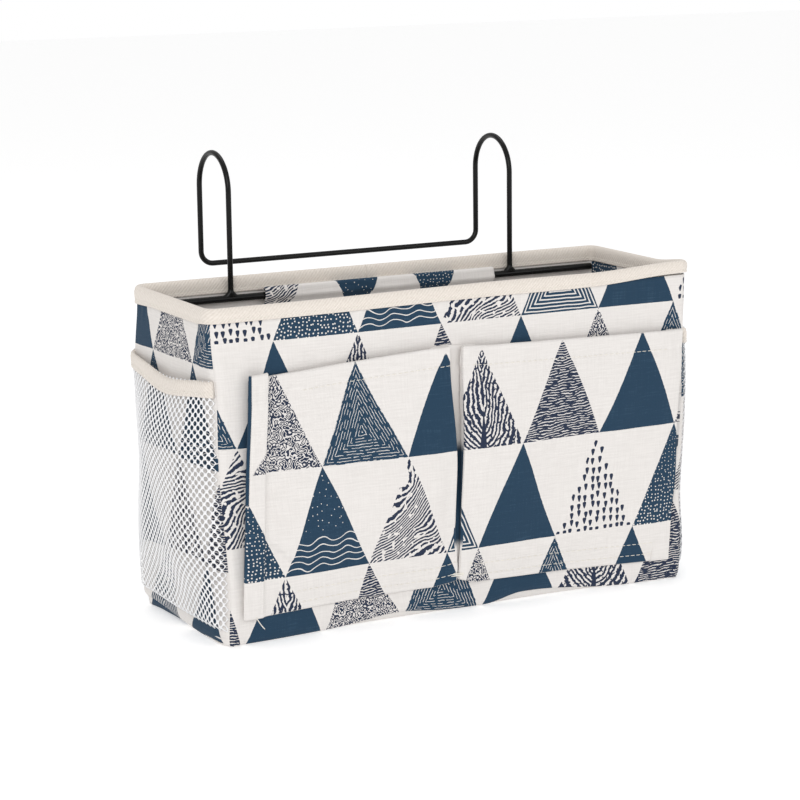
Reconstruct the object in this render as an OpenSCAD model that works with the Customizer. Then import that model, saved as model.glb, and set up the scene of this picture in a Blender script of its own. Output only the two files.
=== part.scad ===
// Hanging fabric organizer: an open canvas caddy with a wired rim, two pleated front
// pockets, a bulging net pocket on each side, and a wire hanger with two rail hooks.
// The hanger's crossbar lies against the back wall under a hook-and-loop flap.
// Frame: origin at the middle of the base, +X along the width, -Y to the front, +Z up.

/* [Bag] */
// Width over the rim binding
bag_w = 330; // [260:1:380]
// Depth over the rim binding
bag_d = 116; // [100:1:160]
// Height of the rim above the base
bag_h = 200; // [170:1:260]
// Outer radius of the upright corners
corner_r = 8; // [7.5:0.5:20]
// Thickness of the printed canvas
canvas_t = 1; // [0.6:0.1:1.4]
// Thickness of the lining
lining_t = 0.8; // [0.4:0.1:1]

/* [Rim] */
// Height of the twill binding folded over the rim
binding_h = 9.5; // [8:0.5:14]
// Thickness of each leg of the binding
binding_t = 1.2; // [0.8:0.1:1.6]
// Diameter of the spring wire inside the binding
rim_wire_d = 2.4; // [1.6:0.1:2.6]

/* [Front pockets] */
// Distance from each side of the bag to the canvas strip that forms both pockets
pocket_margin = 14.5; // [13:0.5:40]
// Sideways place of the strip's middle
pocket_x = 2; // [0:0.5:2]
// Sideways place of the stitched divider
divider_x = -4; // [-30:1:30]
// Height of the strip's lower edge
pocket_bottom = 16; // [8:1:40]
// Height of the pocket mouths
pocket_top = 161; // [120:1:166]
// How far the pockets stand out from the front panel
pocket_depth = 9; // [6:0.5:20]

/* [Net pockets] */
// Height of the net's lower edge
net_bottom = 10; // [4:1:30]
// Height of the net pocket's mouth
net_top = 159; // [120:1:166]
// How far the net bulges from the side panel
net_bulge = 20; // [12:1:30]
// Distance from the bag's front and back to the net's edges
net_margin = 8; // [8:0.5:16]
// Thickness of the net
net_t = 0.8; // [0.5:0.1:1]
// Height of the binding along the mouth
band_h = 11; // [8:0.5:14]

/* [Hanger] */
// Diameter of the hook wire
wire_d = 3.4; // [3:0.1:4.5]
// Diameter of the crossbar
bar_d = 4.4; // [4:0.1:5.5]
// Gap between each end of the crossbar and the rim
bar_margin = 3; // [3:0.5:10]
// Distance between the middles of the two hooks
hook_spacing = 198; // [170:1:220]
// Sideways place of the middle between the hooks
hooks_x = -3; // [-4:0.5:4]
// Distance from the front leg to the rear leg of a hook, middle to middle
hook_gap = 45; // [36:0.5:60]
// Height of the hooks above the crossbar
hook_rise = 88; // [75:1:96]
// Height of the rear wire above the rim
rear_lift = 3; // [3:0.5:10]
// Radius of the bend between a rear leg and the rear wire
bend_r = 8; // [6:0.5:14]

/* [Flap] */
// Width of the flap that wraps the crossbar
flap_w = 160; // [100:1:160]
// Height of the flap's lower edge
flap_bottom = 158; // [150:1:165]
// Height of the hook and loop tapes
tape_h = 16; // [12:1:16]

/* [Base] */
// Thickness of the stiffening board between the base's two cloths
board_t = 2; // [1:0.5:3]
// Clearance between the base and the walls
base_gap = 2.5; // [0.4:0.1:3]

/* [Hidden] */
$fn = 48;

canvas_colour = [0.90, 0.88, 0.83];
print_colour = [0.17, 0.28, 0.38];
lining_colour = [0.93, 0.91, 0.88];
tape_colour = [0.93, 0.88, 0.79];
thread_colour = [0.96, 0.94, 0.89];

// Layers, as insets from the outer face of the binding
ply_gap = 0.1;
canvas_in = binding_t + ply_gap;
lining_in = canvas_in + canvas_t + ply_gap;
inner_leg_in = lining_in + lining_t + ply_gap;
rim_t = inner_leg_in + binding_t;
panel_top = bag_h - 5.5;
binding_bottom = bag_h - binding_h;
rim_wire_z = bag_h - 3.4;
seam_angle = 0.6;       // opening left at each corner seam, in degrees
corner_steps = 6;       // straight facets in a 45 degree corner
thread_w = 0.6;         // height or width of a line of stitches
thread_t = 0.3;         // how far the stitches stand out
fine = 0.02;            // clearance that keeps touching pieces apart

// Planes of the walls and ends of the pocket strip
front_face = -(bag_d / 2 - canvas_in);
pocket_face = front_face - ply_gap - pocket_depth;
pocket_left = pocket_x - bag_w / 2 + pocket_margin;
pocket_right = pocket_x + bag_w / 2 - pocket_margin;
side_face = bag_w / 2 - canvas_in;
back_inner = bag_d / 2 - lining_in - lining_t;
rim_inner = bag_d / 2 - rim_t;

// Hanger
bar_l = bag_w - 2 * (rim_t + bar_margin);
bar_y = rim_inner - 0.8 - bar_d / 2;
bar_z = binding_bottom - 1.2 - bar_d / 2;
hook_half = hook_spacing / 2;
hook_r = hook_gap / 2;
hook_centre_z = bar_z + hook_rise - hook_r;
rear_z = bag_h + rear_lift;

// Flap
flap_t = 1;
tape_t = 0.9;
tape_gap = 0.1;
flap_root_y = rim_inner - 1.1;
flap_root_z = binding_bottom - 0.6;
flap_back_y = back_inner - 2 * tape_t - 3 * tape_gap;

// Base
base_half_w = bag_w / 2 - lining_in - lining_t - base_gap;
base_half_d = bag_d / 2 - lining_in - lining_t - base_gap;
board_inset = 1.5;
base_r = max(corner_r - lining_in - lining_t - base_gap, board_inset + 0.5);

// Net pockets: a circular arc in plan
net_chord = bag_d / 2 - net_margin;
net_r = (net_chord * net_chord + net_bulge * net_bulge) / (2 * net_bulge);
net_centre = side_face + 0.2 - (net_r - net_bulge);
net_angle = asin(net_chord / net_r) - 2.2;

function arc(centre, r, from, to, steps) =
    [for (i = [0:steps]) let (a = from + (to - from) * i / steps)
        centre + r * [cos(a), sin(a)]];

function reversed(points) = [for (i = [len(points) - 1:-1:0]) points[i]];

// Path of one wall in plan, facing -Y, from the middle of one corner to the middle of the next
function wall_path(half_run, half_off, r) =
    let (cx = half_run - r, cy = half_off - r)
    concat(
        arc([-cx, -cy], r, 225 + seam_angle, 270, corner_steps),
        arc([cx, -cy], r, 270, 315 - seam_angle, corner_steps));

// One wall of cloth between two insets, turned to its side of the bag
module wall(run, off, inset, t, h, turn) {
    outer = wall_path(run / 2 - inset, off / 2 - inset, corner_r - inset);
    inner = wall_path(run / 2 - inset - t, off / 2 - inset - t, corner_r - inset - t);
    rotate([0, 0, turn])
        linear_extrude(height = h)
            polygon(concat(outer, reversed(inner)));
}

function rounded_rect(half_x, half_y, r) = concat(
    arc([half_x - r, -half_y + r], r, -90, 0, 2 * corner_steps),
    arc([half_x - r, half_y - r], r, 0, 90, 2 * corner_steps),
    arc([-half_x + r, half_y - r], r, 90, 180, 2 * corner_steps),
    arc([-half_x + r, -half_y + r], r, 180, 270, 2 * corner_steps));

// Sweeps a profile round the bag; the profile's x is measured outwards from the given inset
module around_rim(inset) {
    half_x = bag_w / 2 - inset;
    half_y = bag_d / 2 - inset;
    r = corner_r - inset;
    for (i = [0:3]) {
        flat = i % 2 == 0 ? half_x : half_y;
        off = i % 2 == 0 ? half_y : half_x;
        rotate([0, 0, 90 * i]) {
            translate([-(flat - r), -off, 0])
                rotate([90, 0, 90])
                    mirror([1, 0, 0])
                        linear_extrude(height = 2 * (flat - r))
                            children();
            translate([flat - r, -(off - r), 0])
                rotate([0, 0, -90])
                    rotate_extrude(angle = 90)
                        translate([r, 0])
                            children();
        }
    }
}

module front_panel() {
    color(canvas_colour) wall(bag_w, bag_d, canvas_in, canvas_t, panel_top, 0);
}

module back_panel() {
    color(print_colour) wall(bag_w, bag_d, canvas_in, canvas_t, panel_top, 180);
}

module left_side_panel() {
    color(print_colour) wall(bag_d, bag_w, canvas_in, canvas_t, panel_top, -90);
}

module right_side_panel() {
    color(print_colour) wall(bag_d, bag_w, canvas_in, canvas_t, panel_top, 90);
}

module front_lining() {
    color(lining_colour) wall(bag_w, bag_d, lining_in, lining_t, panel_top, 0);
}

module back_lining() {
    color(lining_colour) wall(bag_w, bag_d, lining_in, lining_t, panel_top, 180);
}

module left_lining() {
    color(lining_colour) wall(bag_d, bag_w, lining_in, lining_t, panel_top, -90);
}

module right_lining() {
    color(lining_colour) wall(bag_d, bag_w, lining_in, lining_t, panel_top, 90);
}

// Tape folded over the rim: two legs, a round top, and a channel for the wire
module rim_binding() {
    half = rim_t / 2;
    slot = half - binding_t;
    channel_r = max(rim_wire_d / 2 + ply_gap, slot);
    neck = acos(slot / channel_r);
    color(tape_colour)
        around_rim(half)
            polygon(concat(
                [[half, binding_bottom]],
                arc([0, bag_h - half], half, 0, 180, 8),
                [[-half, binding_bottom], [-slot, binding_bottom]],
                arc([0, rim_wire_z], channel_r, 180 + neck, -neck, 10),
                [[slot, binding_bottom]]));
}

module rim_wire() {
    color("silver")
        around_rim(rim_t / 2)
            translate([0, rim_wire_z])
                circle(d = rim_wire_d);
}

// One line of stitches outside the binding and one inside
module rim_stitching() {
    half = rim_t / 2;
    color(thread_colour)
        for (x = [half + fine, -half - fine - thread_t])
            around_rim(half)
                translate([x, binding_bottom + 1.8])
                    square([thread_t, thread_w]);
}

// Canvas strip sewn down at both ends, along the bottom and along the divider
module front_pocket_strip() {
    left = pocket_left;
    right = pocket_right;
    back = front_face - ply_gap;
    mouth = 5;      // half width of the divider's pleat at the front
    foot = 1;       // half width of the pleat where it is sewn
    color(canvas_colour)
        translate([0, 0, pocket_bottom]) {
            linear_extrude(height = pocket_top - pocket_bottom) {
                for (x = [left, right - canvas_t])
                    translate([x, pocket_face])
                        square([canvas_t, pocket_depth]);
                translate([left, pocket_face])
                    square([divider_x - mouth - left, canvas_t]);
                translate([divider_x + mouth, pocket_face])
                    square([right - divider_x - mouth, canvas_t]);
                for (side = [-1, 1])
                    translate([divider_x, 0])
                        polygon([
                            [side * (mouth + 1), pocket_face],
                            [side * mouth, pocket_face],
                            [side * foot, back - canvas_t],
                            [0, back - canvas_t],
                            [0, back],
                            [side * (foot + 1), back]]);
            }
            translate([left, pocket_face])
                cube([divider_x - foot - left, pocket_depth, canvas_t]);
            translate([divider_x + foot, pocket_face])
                cube([right - divider_x - foot, pocket_depth, canvas_t]);
        }
}

// Hem lines along the mouths and the lower edge, the divider's seam, and its bar tack
module pocket_stitching() {
    left = pocket_left + 2;
    right = pocket_right - 2;
    face = pocket_face - fine - thread_t;
    seam = front_face - ply_gap - canvas_t - fine - thread_t;
    hem_heights = [pocket_bottom + 4.5, pocket_bottom + 11.5, pocket_top - 6.5];
    tack_w = 9;
    color(thread_colour) {
        for (z = hem_heights) {
            translate([left, face, z])
                cube([divider_x - 6 - left, thread_t, thread_w]);
            translate([divider_x + 6, face, z])
                cube([right - divider_x - 6, thread_t, thread_w]);
        }
        translate([divider_x - thread_w / 2, seam, pocket_bottom + 1])
            cube([thread_w, thread_t, pocket_top - pocket_bottom - 2]);
        translate([divider_x - tack_w / 2, face, pocket_bottom + 1.5])
            cube([tack_w, thread_t, 1.4]);
    }
}

// Plan of the net between two offsets from its outer face; it faces +X
module net_plan(out, in) {
    polygon(concat(
        arc([net_centre, 0], net_r + out, -net_angle, net_angle, 24),
        arc([net_centre, 0], net_r - in, net_angle, -net_angle, 24)));
}

module net_pocket() {
    floor_x = side_face + ply_gap;
    color([0.95, 0.95, 0.96])
        translate([0, 0, net_bottom]) {
            linear_extrude(height = net_top - 2.2 - net_bottom)
                net_plan(0, net_t);
            linear_extrude(height = net_t)
                intersection() {
                    polygon(concat([[net_centre, 0]],
                        arc([net_centre, 0], net_r - net_t / 2, -net_angle, net_angle, 24)));
                    translate([floor_x, -bag_d])
                        square([2 * net_bulge, 2 * bag_d]);
                }
        }
}

module left_net_pocket() {
    mirror([1, 0, 0]) net_pocket();
}

module right_net_pocket() {
    net_pocket();
}

// Tape folded over the net's upper edge
module net_band() {
    leg = 0.8;
    color(tape_colour)
        translate([0, 0, net_top - band_h]) {
            linear_extrude(height = band_h - 2)
                net_plan(leg + ply_gap, -ply_gap);
            linear_extrude(height = band_h - 2)
                net_plan(-net_t - ply_gap, net_t + leg + ply_gap);
            translate([0, 0, band_h - 2])
                linear_extrude(height = 2)
                    net_plan(leg + ply_gap, net_t + leg + ply_gap);
        }
}

module left_net_band() {
    mirror([1, 0, 0]) net_band();
}

module right_net_band() {
    net_band();
}

module net_band_stitching() {
    face = 0.8 + ply_gap + fine;
    color(thread_colour)
        for (side = [0, 1])
            mirror([side, 0, 0])
                translate([0, 0, net_top - band_h + 1.8])
                    linear_extrude(height = thread_w)
                        net_plan(face + thread_t, -face);
}

module flap_loop_tape() {
    color([0.92, 0.92, 0.9])
        translate([-flap_w / 2 + 4, back_inner - tape_gap - tape_t, flap_bottom + 2])
            cube([flap_w - 8, tape_t, tape_h]);
}

module base_layer(inset, z, t) {
    translate([0, 0, z])
        linear_extrude(height = t)
            polygon(rounded_rect(base_half_w - inset, base_half_d - inset, base_r - inset));
}

module base_panel() {
    color(print_colour) base_layer(0, 0, canvas_t);
}

module base_lining() {
    color(lining_colour) base_layer(0, canvas_t + board_t + 2 * ply_gap, lining_t);
}

module base_board() {
    color([0.62, 0.52, 0.40])
        base_layer(board_inset, canvas_t + ply_gap, board_t);
}

// One wire: up the front leg, over the hook, down the rear leg, across, and back
module hook_wire() {
    foot_z = bar_z + bar_d / 2 + fine;
    rear_y = bar_y + hook_gap;
    color([0.07, 0.07, 0.07])
        translate([hooks_x, 0, 0]) {
            for (side = [0, 1])
                mirror([side, 0, 0]) {
                    translate([hook_half, bar_y, foot_z])
                        cylinder(d = wire_d, h = hook_centre_z - foot_z);
                    translate([hook_half, bar_y + hook_r, hook_centre_z])
                        rotate([90, 0, 90])
                            rotate_extrude(angle = 180)
                                translate([hook_r, 0])
                                    circle(d = wire_d);
                    translate([hook_half, rear_y, rear_z + bend_r])
                        cylinder(d = wire_d, h = hook_centre_z - rear_z - bend_r);
                    translate([hook_half - bend_r, rear_y, rear_z + bend_r])
                        rotate([90, 0, 0])
                            rotate([0, 0, -90])
                                rotate_extrude(angle = 90)
                                    translate([bend_r, 0])
                                        circle(d = wire_d);
                }
            translate([-hook_half + bend_r, rear_y, rear_z])
                rotate([0, 90, 0])
                    cylinder(d = wire_d, h = hook_spacing - 2 * bend_r);
        }
}

module bar_solid(extra) {
    translate([-bar_l / 2, bar_y, bar_z])
        rotate([0, 90, 0])
            cylinder(d = bar_d + 2 * extra, h = bar_l);
}

module crossbar() {
    color([0.07, 0.07, 0.07]) bar_solid(0);
}

// Small flared welds where the front legs meet the crossbar
module weld_beads() {
    color([0.1, 0.1, 0.1])
        for (x = [hooks_x - hook_half, hooks_x + hook_half])
            difference() {
                translate([x, bar_y, bar_z])
                    cylinder(d1 = bar_d + 2.4, d2 = wire_d + 0.8, h = bar_d / 2 + 3);
                translate([x, bar_y, bar_z])
                    cylinder(d = wire_d + 2 * fine, h = bar_d + 6);
                bar_solid(fine);
                translate([x - bar_d, bar_y - bar_d, bar_z - fine])
                    cube([2 * bar_d, 2 * bar_d, 0.6]);
            }
}

// Flap in section: out over the crossbar, down its front, and back to the wall below it
module bar_flap() {
    over = flap_root_z + flap_t / 2;
    nose = bar_y - bar_d / 2 - 0.3 - flap_t;
    under = bar_z - bar_d / 2 - 0.8;
    color(canvas_colour)
        translate([-flap_w / 2, 0, 0])
            rotate([90, 0, 90])
                linear_extrude(height = flap_w)
                    polygon([
                        [flap_root_y, over], [nose + 1.5, over], [nose, over - 1.5],
                        [nose, under + 1], [flap_back_y - flap_t, under - 6],
                        [flap_back_y - flap_t, flap_bottom], [flap_back_y, flap_bottom],
                        [flap_back_y, under - 5.4], [nose + flap_t, under + 1.4],
                        [nose + flap_t, over - 1.9], [nose + 1.9, over - flap_t],
                        [flap_root_y, over - flap_t]]);
}

module flap_hook_tape() {
    color([0.88, 0.88, 0.86])
        translate([-flap_w / 2 + 4, flap_back_y + tape_gap, flap_bottom + 2])
            cube([flap_w - 8, tape_t, tape_h]);
}

// Lines of stitches that hold the hook tape, seen on the flap's front
module flap_stitching() {
    face = flap_back_y - flap_t - fine - thread_t;
    color(thread_colour)
        for (z = [flap_bottom + 3, flap_bottom + tape_h])
            translate([-flap_w / 2 + 5, face, z])
                cube([flap_w - 10, thread_t, thread_w]);
}

front_panel();
back_panel();
left_side_panel();
right_side_panel();
front_lining();
back_lining();
left_lining();
right_lining();
rim_binding();
rim_wire();
rim_stitching();
front_pocket_strip();
pocket_stitching();
left_net_pocket();
right_net_pocket();
left_net_band();
right_net_band();
net_band_stitching();
flap_loop_tape();
base_panel();
base_lining();
base_board();
hook_wire();
crossbar();
weld_beads();
bar_flap();
flap_hook_tape();
flap_stitching();
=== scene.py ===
"""Looks of the hanging fabric organizer: cloth, net, tape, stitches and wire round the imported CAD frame.

Shapes are worked out in millimetres as numpy grids and turned into meshes in metres. Walls and nets go
through soften(), one smooth field of sags and dents, and the pocket strip follows the front wall, so that
layers that touch in the CAD stay together.
"""

import math
from functools import partialmethod

import bpy
import numpy as np
from mathutils import Matrix, Vector


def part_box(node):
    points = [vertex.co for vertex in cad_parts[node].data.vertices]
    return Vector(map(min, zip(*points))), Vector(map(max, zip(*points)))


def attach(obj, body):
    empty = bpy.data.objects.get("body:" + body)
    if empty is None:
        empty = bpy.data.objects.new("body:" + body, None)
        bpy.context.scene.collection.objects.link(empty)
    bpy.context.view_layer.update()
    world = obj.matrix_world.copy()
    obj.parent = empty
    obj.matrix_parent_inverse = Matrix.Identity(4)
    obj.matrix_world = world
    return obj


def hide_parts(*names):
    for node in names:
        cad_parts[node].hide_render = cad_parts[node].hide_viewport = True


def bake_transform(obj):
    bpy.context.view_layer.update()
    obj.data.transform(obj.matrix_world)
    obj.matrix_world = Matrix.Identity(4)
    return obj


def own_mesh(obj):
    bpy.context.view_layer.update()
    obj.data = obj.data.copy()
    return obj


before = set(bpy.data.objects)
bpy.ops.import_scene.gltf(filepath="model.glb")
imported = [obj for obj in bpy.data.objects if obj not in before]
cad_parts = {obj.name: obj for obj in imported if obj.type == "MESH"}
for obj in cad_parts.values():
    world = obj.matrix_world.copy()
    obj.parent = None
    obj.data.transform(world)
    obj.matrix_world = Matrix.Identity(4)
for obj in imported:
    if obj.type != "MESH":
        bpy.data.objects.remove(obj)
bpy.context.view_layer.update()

MM = 0.001
TAU = 2 * math.pi


# ---------------- sizes, in millimetres, from the frame

def cad_box(node):
    """Lowest and highest corner of a CAD node, in millimetres."""
    low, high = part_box(node)
    return np.array(low) / MM, np.array(high) / MM


RIM_LOW, RIM_HIGH = cad_box("rim_binding")
PANEL_LOW, PANEL_HIGH = cad_box("front_panel")
NET_LOW, NET_HIGH = cad_box("right_net_pocket")
BAR_LOW, BAR_HIGH = cad_box("crossbar")
WIRE_LOW, WIRE_HIGH = cad_box("hook_wire")
FLAP_LOW, FLAP_HIGH = cad_box("bar_flap")

BAG_W = RIM_HIGH[0] - RIM_LOW[0]
BAG_D = RIM_HIGH[1] - RIM_LOW[1]
RIM_Z = RIM_HIGH[2]
RIM_BOTTOM = RIM_LOW[2]
RIM_T = 4.5
CORNER_R = 8
CANVAS_T = 1.0
CANVAS_IN = BAG_D / 2 + PANEL_LOW[1]      # from the rim's outer face in to the canvas
LINING_T = 0.8
LINING_IN = CANVAS_IN + CANVAS_T + 0.1
BAR_Y = (BAR_LOW[1] + BAR_HIGH[1]) / 2
BAR_Z = (BAR_LOW[2] + BAR_HIGH[2]) / 2
BAR_R = (BAR_HIGH[2] - BAR_LOW[2]) / 2
WIRE_R = 1.7

# The print: rows of triangles, each row shifted by half a triangle
PRINT_P = 55.2      # width of a triangle
PRINT_H = 60.9      # height of a row
ROW_A = ["drops", "dots", "waves", "fur", "nested", "solid"]
ROW_B = ["rings", "solid", "tree", "weave", "solid", "maze"]
DARK_MOTIFS = ("fur", "tree", "weave", "maze", "drops")


# ---------------- numpy helpers

def smooth(start, end, x):
    """0 up to start and 1 from end on, with an easy curve between them; end may be the lower one."""
    t = np.clip((np.asarray(x, float) - start) / (end - start), 0, 1)
    return t * t * (3 - 2 * t)


def bump(x, centre, width):
    """A bell of height 1 about centre."""
    return np.exp(-((np.asarray(x, float) - centre) / width) ** 2)


def between(x, low, high):
    return (x > low) * (x < high)


def stacked(*layers):
    """Numbers and grids, spread to one shape, side by side along a new last axis."""
    return np.stack(np.broadcast_arrays(*layers), -1)


def unit(vectors):
    """Vectors scaled to length 1."""
    return vectors / np.maximum(np.linalg.norm(vectors, axis=-1, keepdims=True), 1e-9)


def distances(points):
    """How far along a polyline each of its points lies."""
    return np.concatenate([[0], np.cumsum(np.linalg.norm(np.diff(points, axis=0), axis=1))])


def along_line(t, at, line):
    """Values of a polyline, whose points lie at the distances at, at other distances t."""
    return stacked(*(np.interp(t, at, line[:, k]) for k in range(line.shape[1])))


def arc(x, y, radius, start, end, steps):
    """Points of an arc in plan about (x, y), and its outward normals there; angles in degrees."""
    angles = np.radians(np.linspace(start, end, steps + 1))
    normals = stacked(np.cos(angles), np.sin(angles))
    return np.array([x, y]) + radius * normals, normals


def waves(points, seed, count, shortest, longest):
    """A smooth vector field made of sine waves of random directions, about 1 in size."""
    rng = np.random.default_rng(seed)
    field = np.zeros_like(points)
    for _ in range(count):
        direction = unit(rng.normal(size=3))
        length = rng.uniform(shortest, longest)
        push = rng.normal(size=3)
        field += np.sin(points @ direction * TAU / length + rng.uniform(0, TAU))[..., None] * push
    return field / math.sqrt(count)


def base_lift(x, y):
    """How far the walls' lower edge stands off the floor: two dents in front, one behind, one at each end."""
    front = 3.6 * bump(x, -44, 26) + 4.6 * smooth(18, 46, x) * smooth(120, 50, x)
    ends = 5.5 * smooth(-30, 50, y) * smooth(120, 155, np.abs(x))
    back = 2.0 * bump(x, 20, 60)
    return np.where(y < 0, front * smooth(0, -40, y), back * smooth(0, 40, y)) + ends


def taper(x, y, z):
    """The base is shorter than the rim in front, its corners stand out in depth, and both ends lean left."""
    low = smooth(RIM_Z - 20, 0, z)
    near_ends = smooth(60, 150, np.abs(x))
    pull = low ** 2 * (2.6 * near_ends - 2.4 * (1 - near_ends)) * y / (BAG_D / 2)
    shorter = 0.024 * low * smooth(60, -60, y)
    corner = 1.6 * low ** 2 * smooth(150, 162, np.abs(x)) * smooth(42, 54, np.abs(y))
    left_lean = 2.4 * smooth(80, 130, z) * smooth(-40, 30, y)
    right_lean = 2.9 * smooth(15, 60, z) * smooth(40, -30, y)
    lean = np.where(x < 0, left_lean, right_lean)
    lean = lean * smooth(90, 160, np.abs(x)) * smooth(RIM_Z - 8, RIM_Z - 45, z)
    return x * (1 - shorter) - lean - np.sign(x) * corner * (y < 0), y + pull + np.sign(y) * corner


def soften(points):
    """Moves points of the bag's cloth by the sags and dents that all its layers share.

    The cloth is held at the rim, at the base and by the bar, and lies flatter along the middle of the back.
    """
    p = np.asarray(points, float)
    x, y, z = p[..., 0], p[..., 1], p[..., 2]
    free = smooth(RIM_Z - 6, RIM_Z - 60, z) * smooth(-2, 30, z)
    free *= 1 - 0.7 * smooth(42, 52, y) * smooth(120, 85, np.abs(x))
    near_bar = smooth(20, 45, y) * smooth(140, 165, z)
    field = waves(p, 3, 9, 90, 240) * 1.5 + waves(p, 8, 8, 38, 80) * 0.45
    moved = p + field * (free * (1 - 0.9 * near_bar))[..., None]
    moved[..., 0], moved[..., 1] = taper(moved[..., 0], moved[..., 1], z)
    moved[..., 2] += base_lift(x, y) * np.exp(-np.clip(z, 0, None) / 16)
    return moved


def grid_normals(grid):
    return unit(np.cross(np.gradient(grid, axis=1), np.gradient(grid, axis=0)))


def sample_grid(grid, row, col):
    """Values of a grid at fractional rows and columns."""
    r = np.clip(np.asarray(row, float), 0, grid.shape[0] - 1.001)
    c = np.clip(np.asarray(col, float), 0, grid.shape[1] - 1.001)
    r0, c0 = r.astype(int), c.astype(int)
    fr, fc = (r - r0)[..., None], (c - c0)[..., None]
    low = grid[r0, c0] * (1 - fc) + grid[r0, c0 + 1] * fc
    high = grid[r0 + 1, c0] * (1 - fc) + grid[r0 + 1, c0 + 1] * fc
    return low * (1 - fr) + high * fr


def grid_row(grid, row, first, last, count):
    """Points and normals of a grid along a fractional row, between two columns."""
    c = np.linspace(first, last, count)
    r = np.full_like(c, row)
    return sample_grid(grid, r, c), sample_grid(grid_normals(grid), r, c)


def spline(controls, count):
    """Catmull-Rom curve through controls of shape (points, ...), as count samples along axis 0."""
    c = np.concatenate([2 * controls[:1] - controls[1:2], controls, 2 * controls[-1:] - controls[-2:-1]])
    t = np.linspace(0, len(controls) - 1.000001, count)
    k = t.astype(int)
    f = (t - k).reshape((-1,) + (1,) * (controls.ndim - 1))
    a, b, d, e = c[k], c[k + 1], c[k + 2], c[k + 3]
    return 0.5 * (2 * b + (d - a) * f + (2 * a - 5 * b + 4 * d - e) * f**2 + (3 * b - a - 3 * d + e) * f**3)


# ---------------- meshes


def new_object(name, data):
    obj = bpy.data.objects.new(name, data)
    bpy.context.scene.collection.objects.link(obj)
    return obj


def new_piece(name, verts, faces, material, body="bag", uv=None, ink=None, folds=False):
    """A mesh piece that stands for the CAD node of its name, from vertices in millimetres.

    It rides on a CAD body, unless body is None, and with folds its object gets a copy of the mesh of its own.
    """
    mesh = bpy.data.meshes.new(name)
    mesh.from_pydata((np.asarray(verts, float) * MM).tolist(), [], [tuple(map(int, f)) for f in faces])
    mesh.validate()
    shade_smooth(mesh)
    if uv is not None:
        corner_verts = np.zeros(len(mesh.loops), int)
        mesh.loops.foreach_get("vertex_index", corner_verts)
        layer = mesh.uv_layers.new(name="cloth")
        layer.data.foreach_set("uv", (np.asarray(uv, float) * MM)[corner_verts].ravel())
    if ink is not None:
        attribute = mesh.attributes.new("ink", "FLOAT", "POINT")
        attribute.data.foreach_set("value", np.asarray(ink, np.float32).ravel())
    mesh.materials.append(material)
    obj = new_object(name, mesh)
    if body:
        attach(obj, body)
    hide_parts(name)
    if folds:
        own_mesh(obj)
    return obj


def shade_smooth(mesh):
    mesh.polygons.foreach_set("use_smooth", [True] * len(mesh.polygons))


def paint_node(node, material):
    """Gives a CAD node that shows as it is a material, and returns its mesh."""
    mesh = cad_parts[node].data
    mesh.materials.clear()
    mesh.materials.append(material)
    return mesh


def grid_faces(rows, cols, closed=False):
    faces = []
    for r in range(rows - 1):
        for c in range(cols if closed else cols - 1):
            a, d = r * cols, (c + 1) % cols
            faces.append((a + c, a + d, a + cols + d, a + cols + c))
    return faces


def tube_faces(rings, sides):
    """Faces of a tube made of rings of points, capped at both ends."""
    faces = [(a, d, c, b) for a, b, c, d in grid_faces(rings, sides, closed=True)]
    last = (rings - 1) * sides
    return faces + [tuple(range(sides)), tuple(range(last + sides - 1, last - 1, -1))]


def slab(outer, thickness, uv):
    """A closed sheet with soft edges: outer is its visible face, thickness a number or a grid."""
    rows, cols = outer.shape[:2]
    t = np.broadcast_to(np.asarray(thickness, float), (rows, cols))[..., None]
    inner = outer - grid_normals(outer) * t
    count = rows * cols
    border = [(0, c) for c in range(cols)] + [(r, cols - 1) for r in range(1, rows)]
    border += [(rows - 1, c) for c in range(cols - 2, -1, -1)] + [(r, 0) for r in range(rows - 2, 0, -1)]
    middle, middle_uv = [], []
    for r, c in border:
        inward = (min(max(r, 1), rows - 2), min(max(c, 1), cols - 2))
        edge = (outer[r, c] + inner[r, c]) / 2
        middle.append(edge + unit(outer[r, c] - outer[inward]) * t[r, c] * 0.4)
        middle_uv.append(uv[r, c])
    verts = np.concatenate([outer.reshape(-1, 3), inner.reshape(-1, 3), np.array(middle)])
    all_uv = np.concatenate([uv.reshape(-1, 2), uv.reshape(-1, 2), np.array(middle_uv)])
    faces = grid_faces(rows, cols)
    faces += [tuple(v + count for v in reversed(f)) for f in faces]
    n = len(border)
    for i in range(n):
        j = (i + 1) % n
        a, b = border[i][0] * cols + border[i][1], border[j][0] * cols + border[j][1]
        m, k = 2 * count + i, 2 * count + j
        faces += [(b, a, m, k), (k, m, a + count, b + count)]
    return verts, faces, all_uv


def tube(path, radius, sides=8):
    """A closed tube along a polyline; radius is a number or one value per point."""
    path = np.asarray(path, float)
    r = np.broadcast_to(np.asarray(radius, float), (len(path),))
    along = unit(np.gradient(path, axis=0))
    side = unit(np.cross(along, [0.31, 0.17, 0.93]))
    other = np.cross(along, side)
    angles = (np.arange(sides) * TAU / sides)[None, :, None]
    ring = np.cos(angles) * side[:, None, :] + np.sin(angles) * other[:, None, :]
    return (path[:, None, :] + ring * r[:, None, None]).reshape(-1, 3), tube_faces(len(path), sides)


def join(parts):
    """One list of verts and faces out of several."""
    verts, faces, start = [], [], 0
    for v, f in parts:
        verts.append(np.asarray(v, float))
        faces += [tuple(int(i) + start for i in face) for face in f]
        start += len(v)
    return np.concatenate(verts), faces


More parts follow.
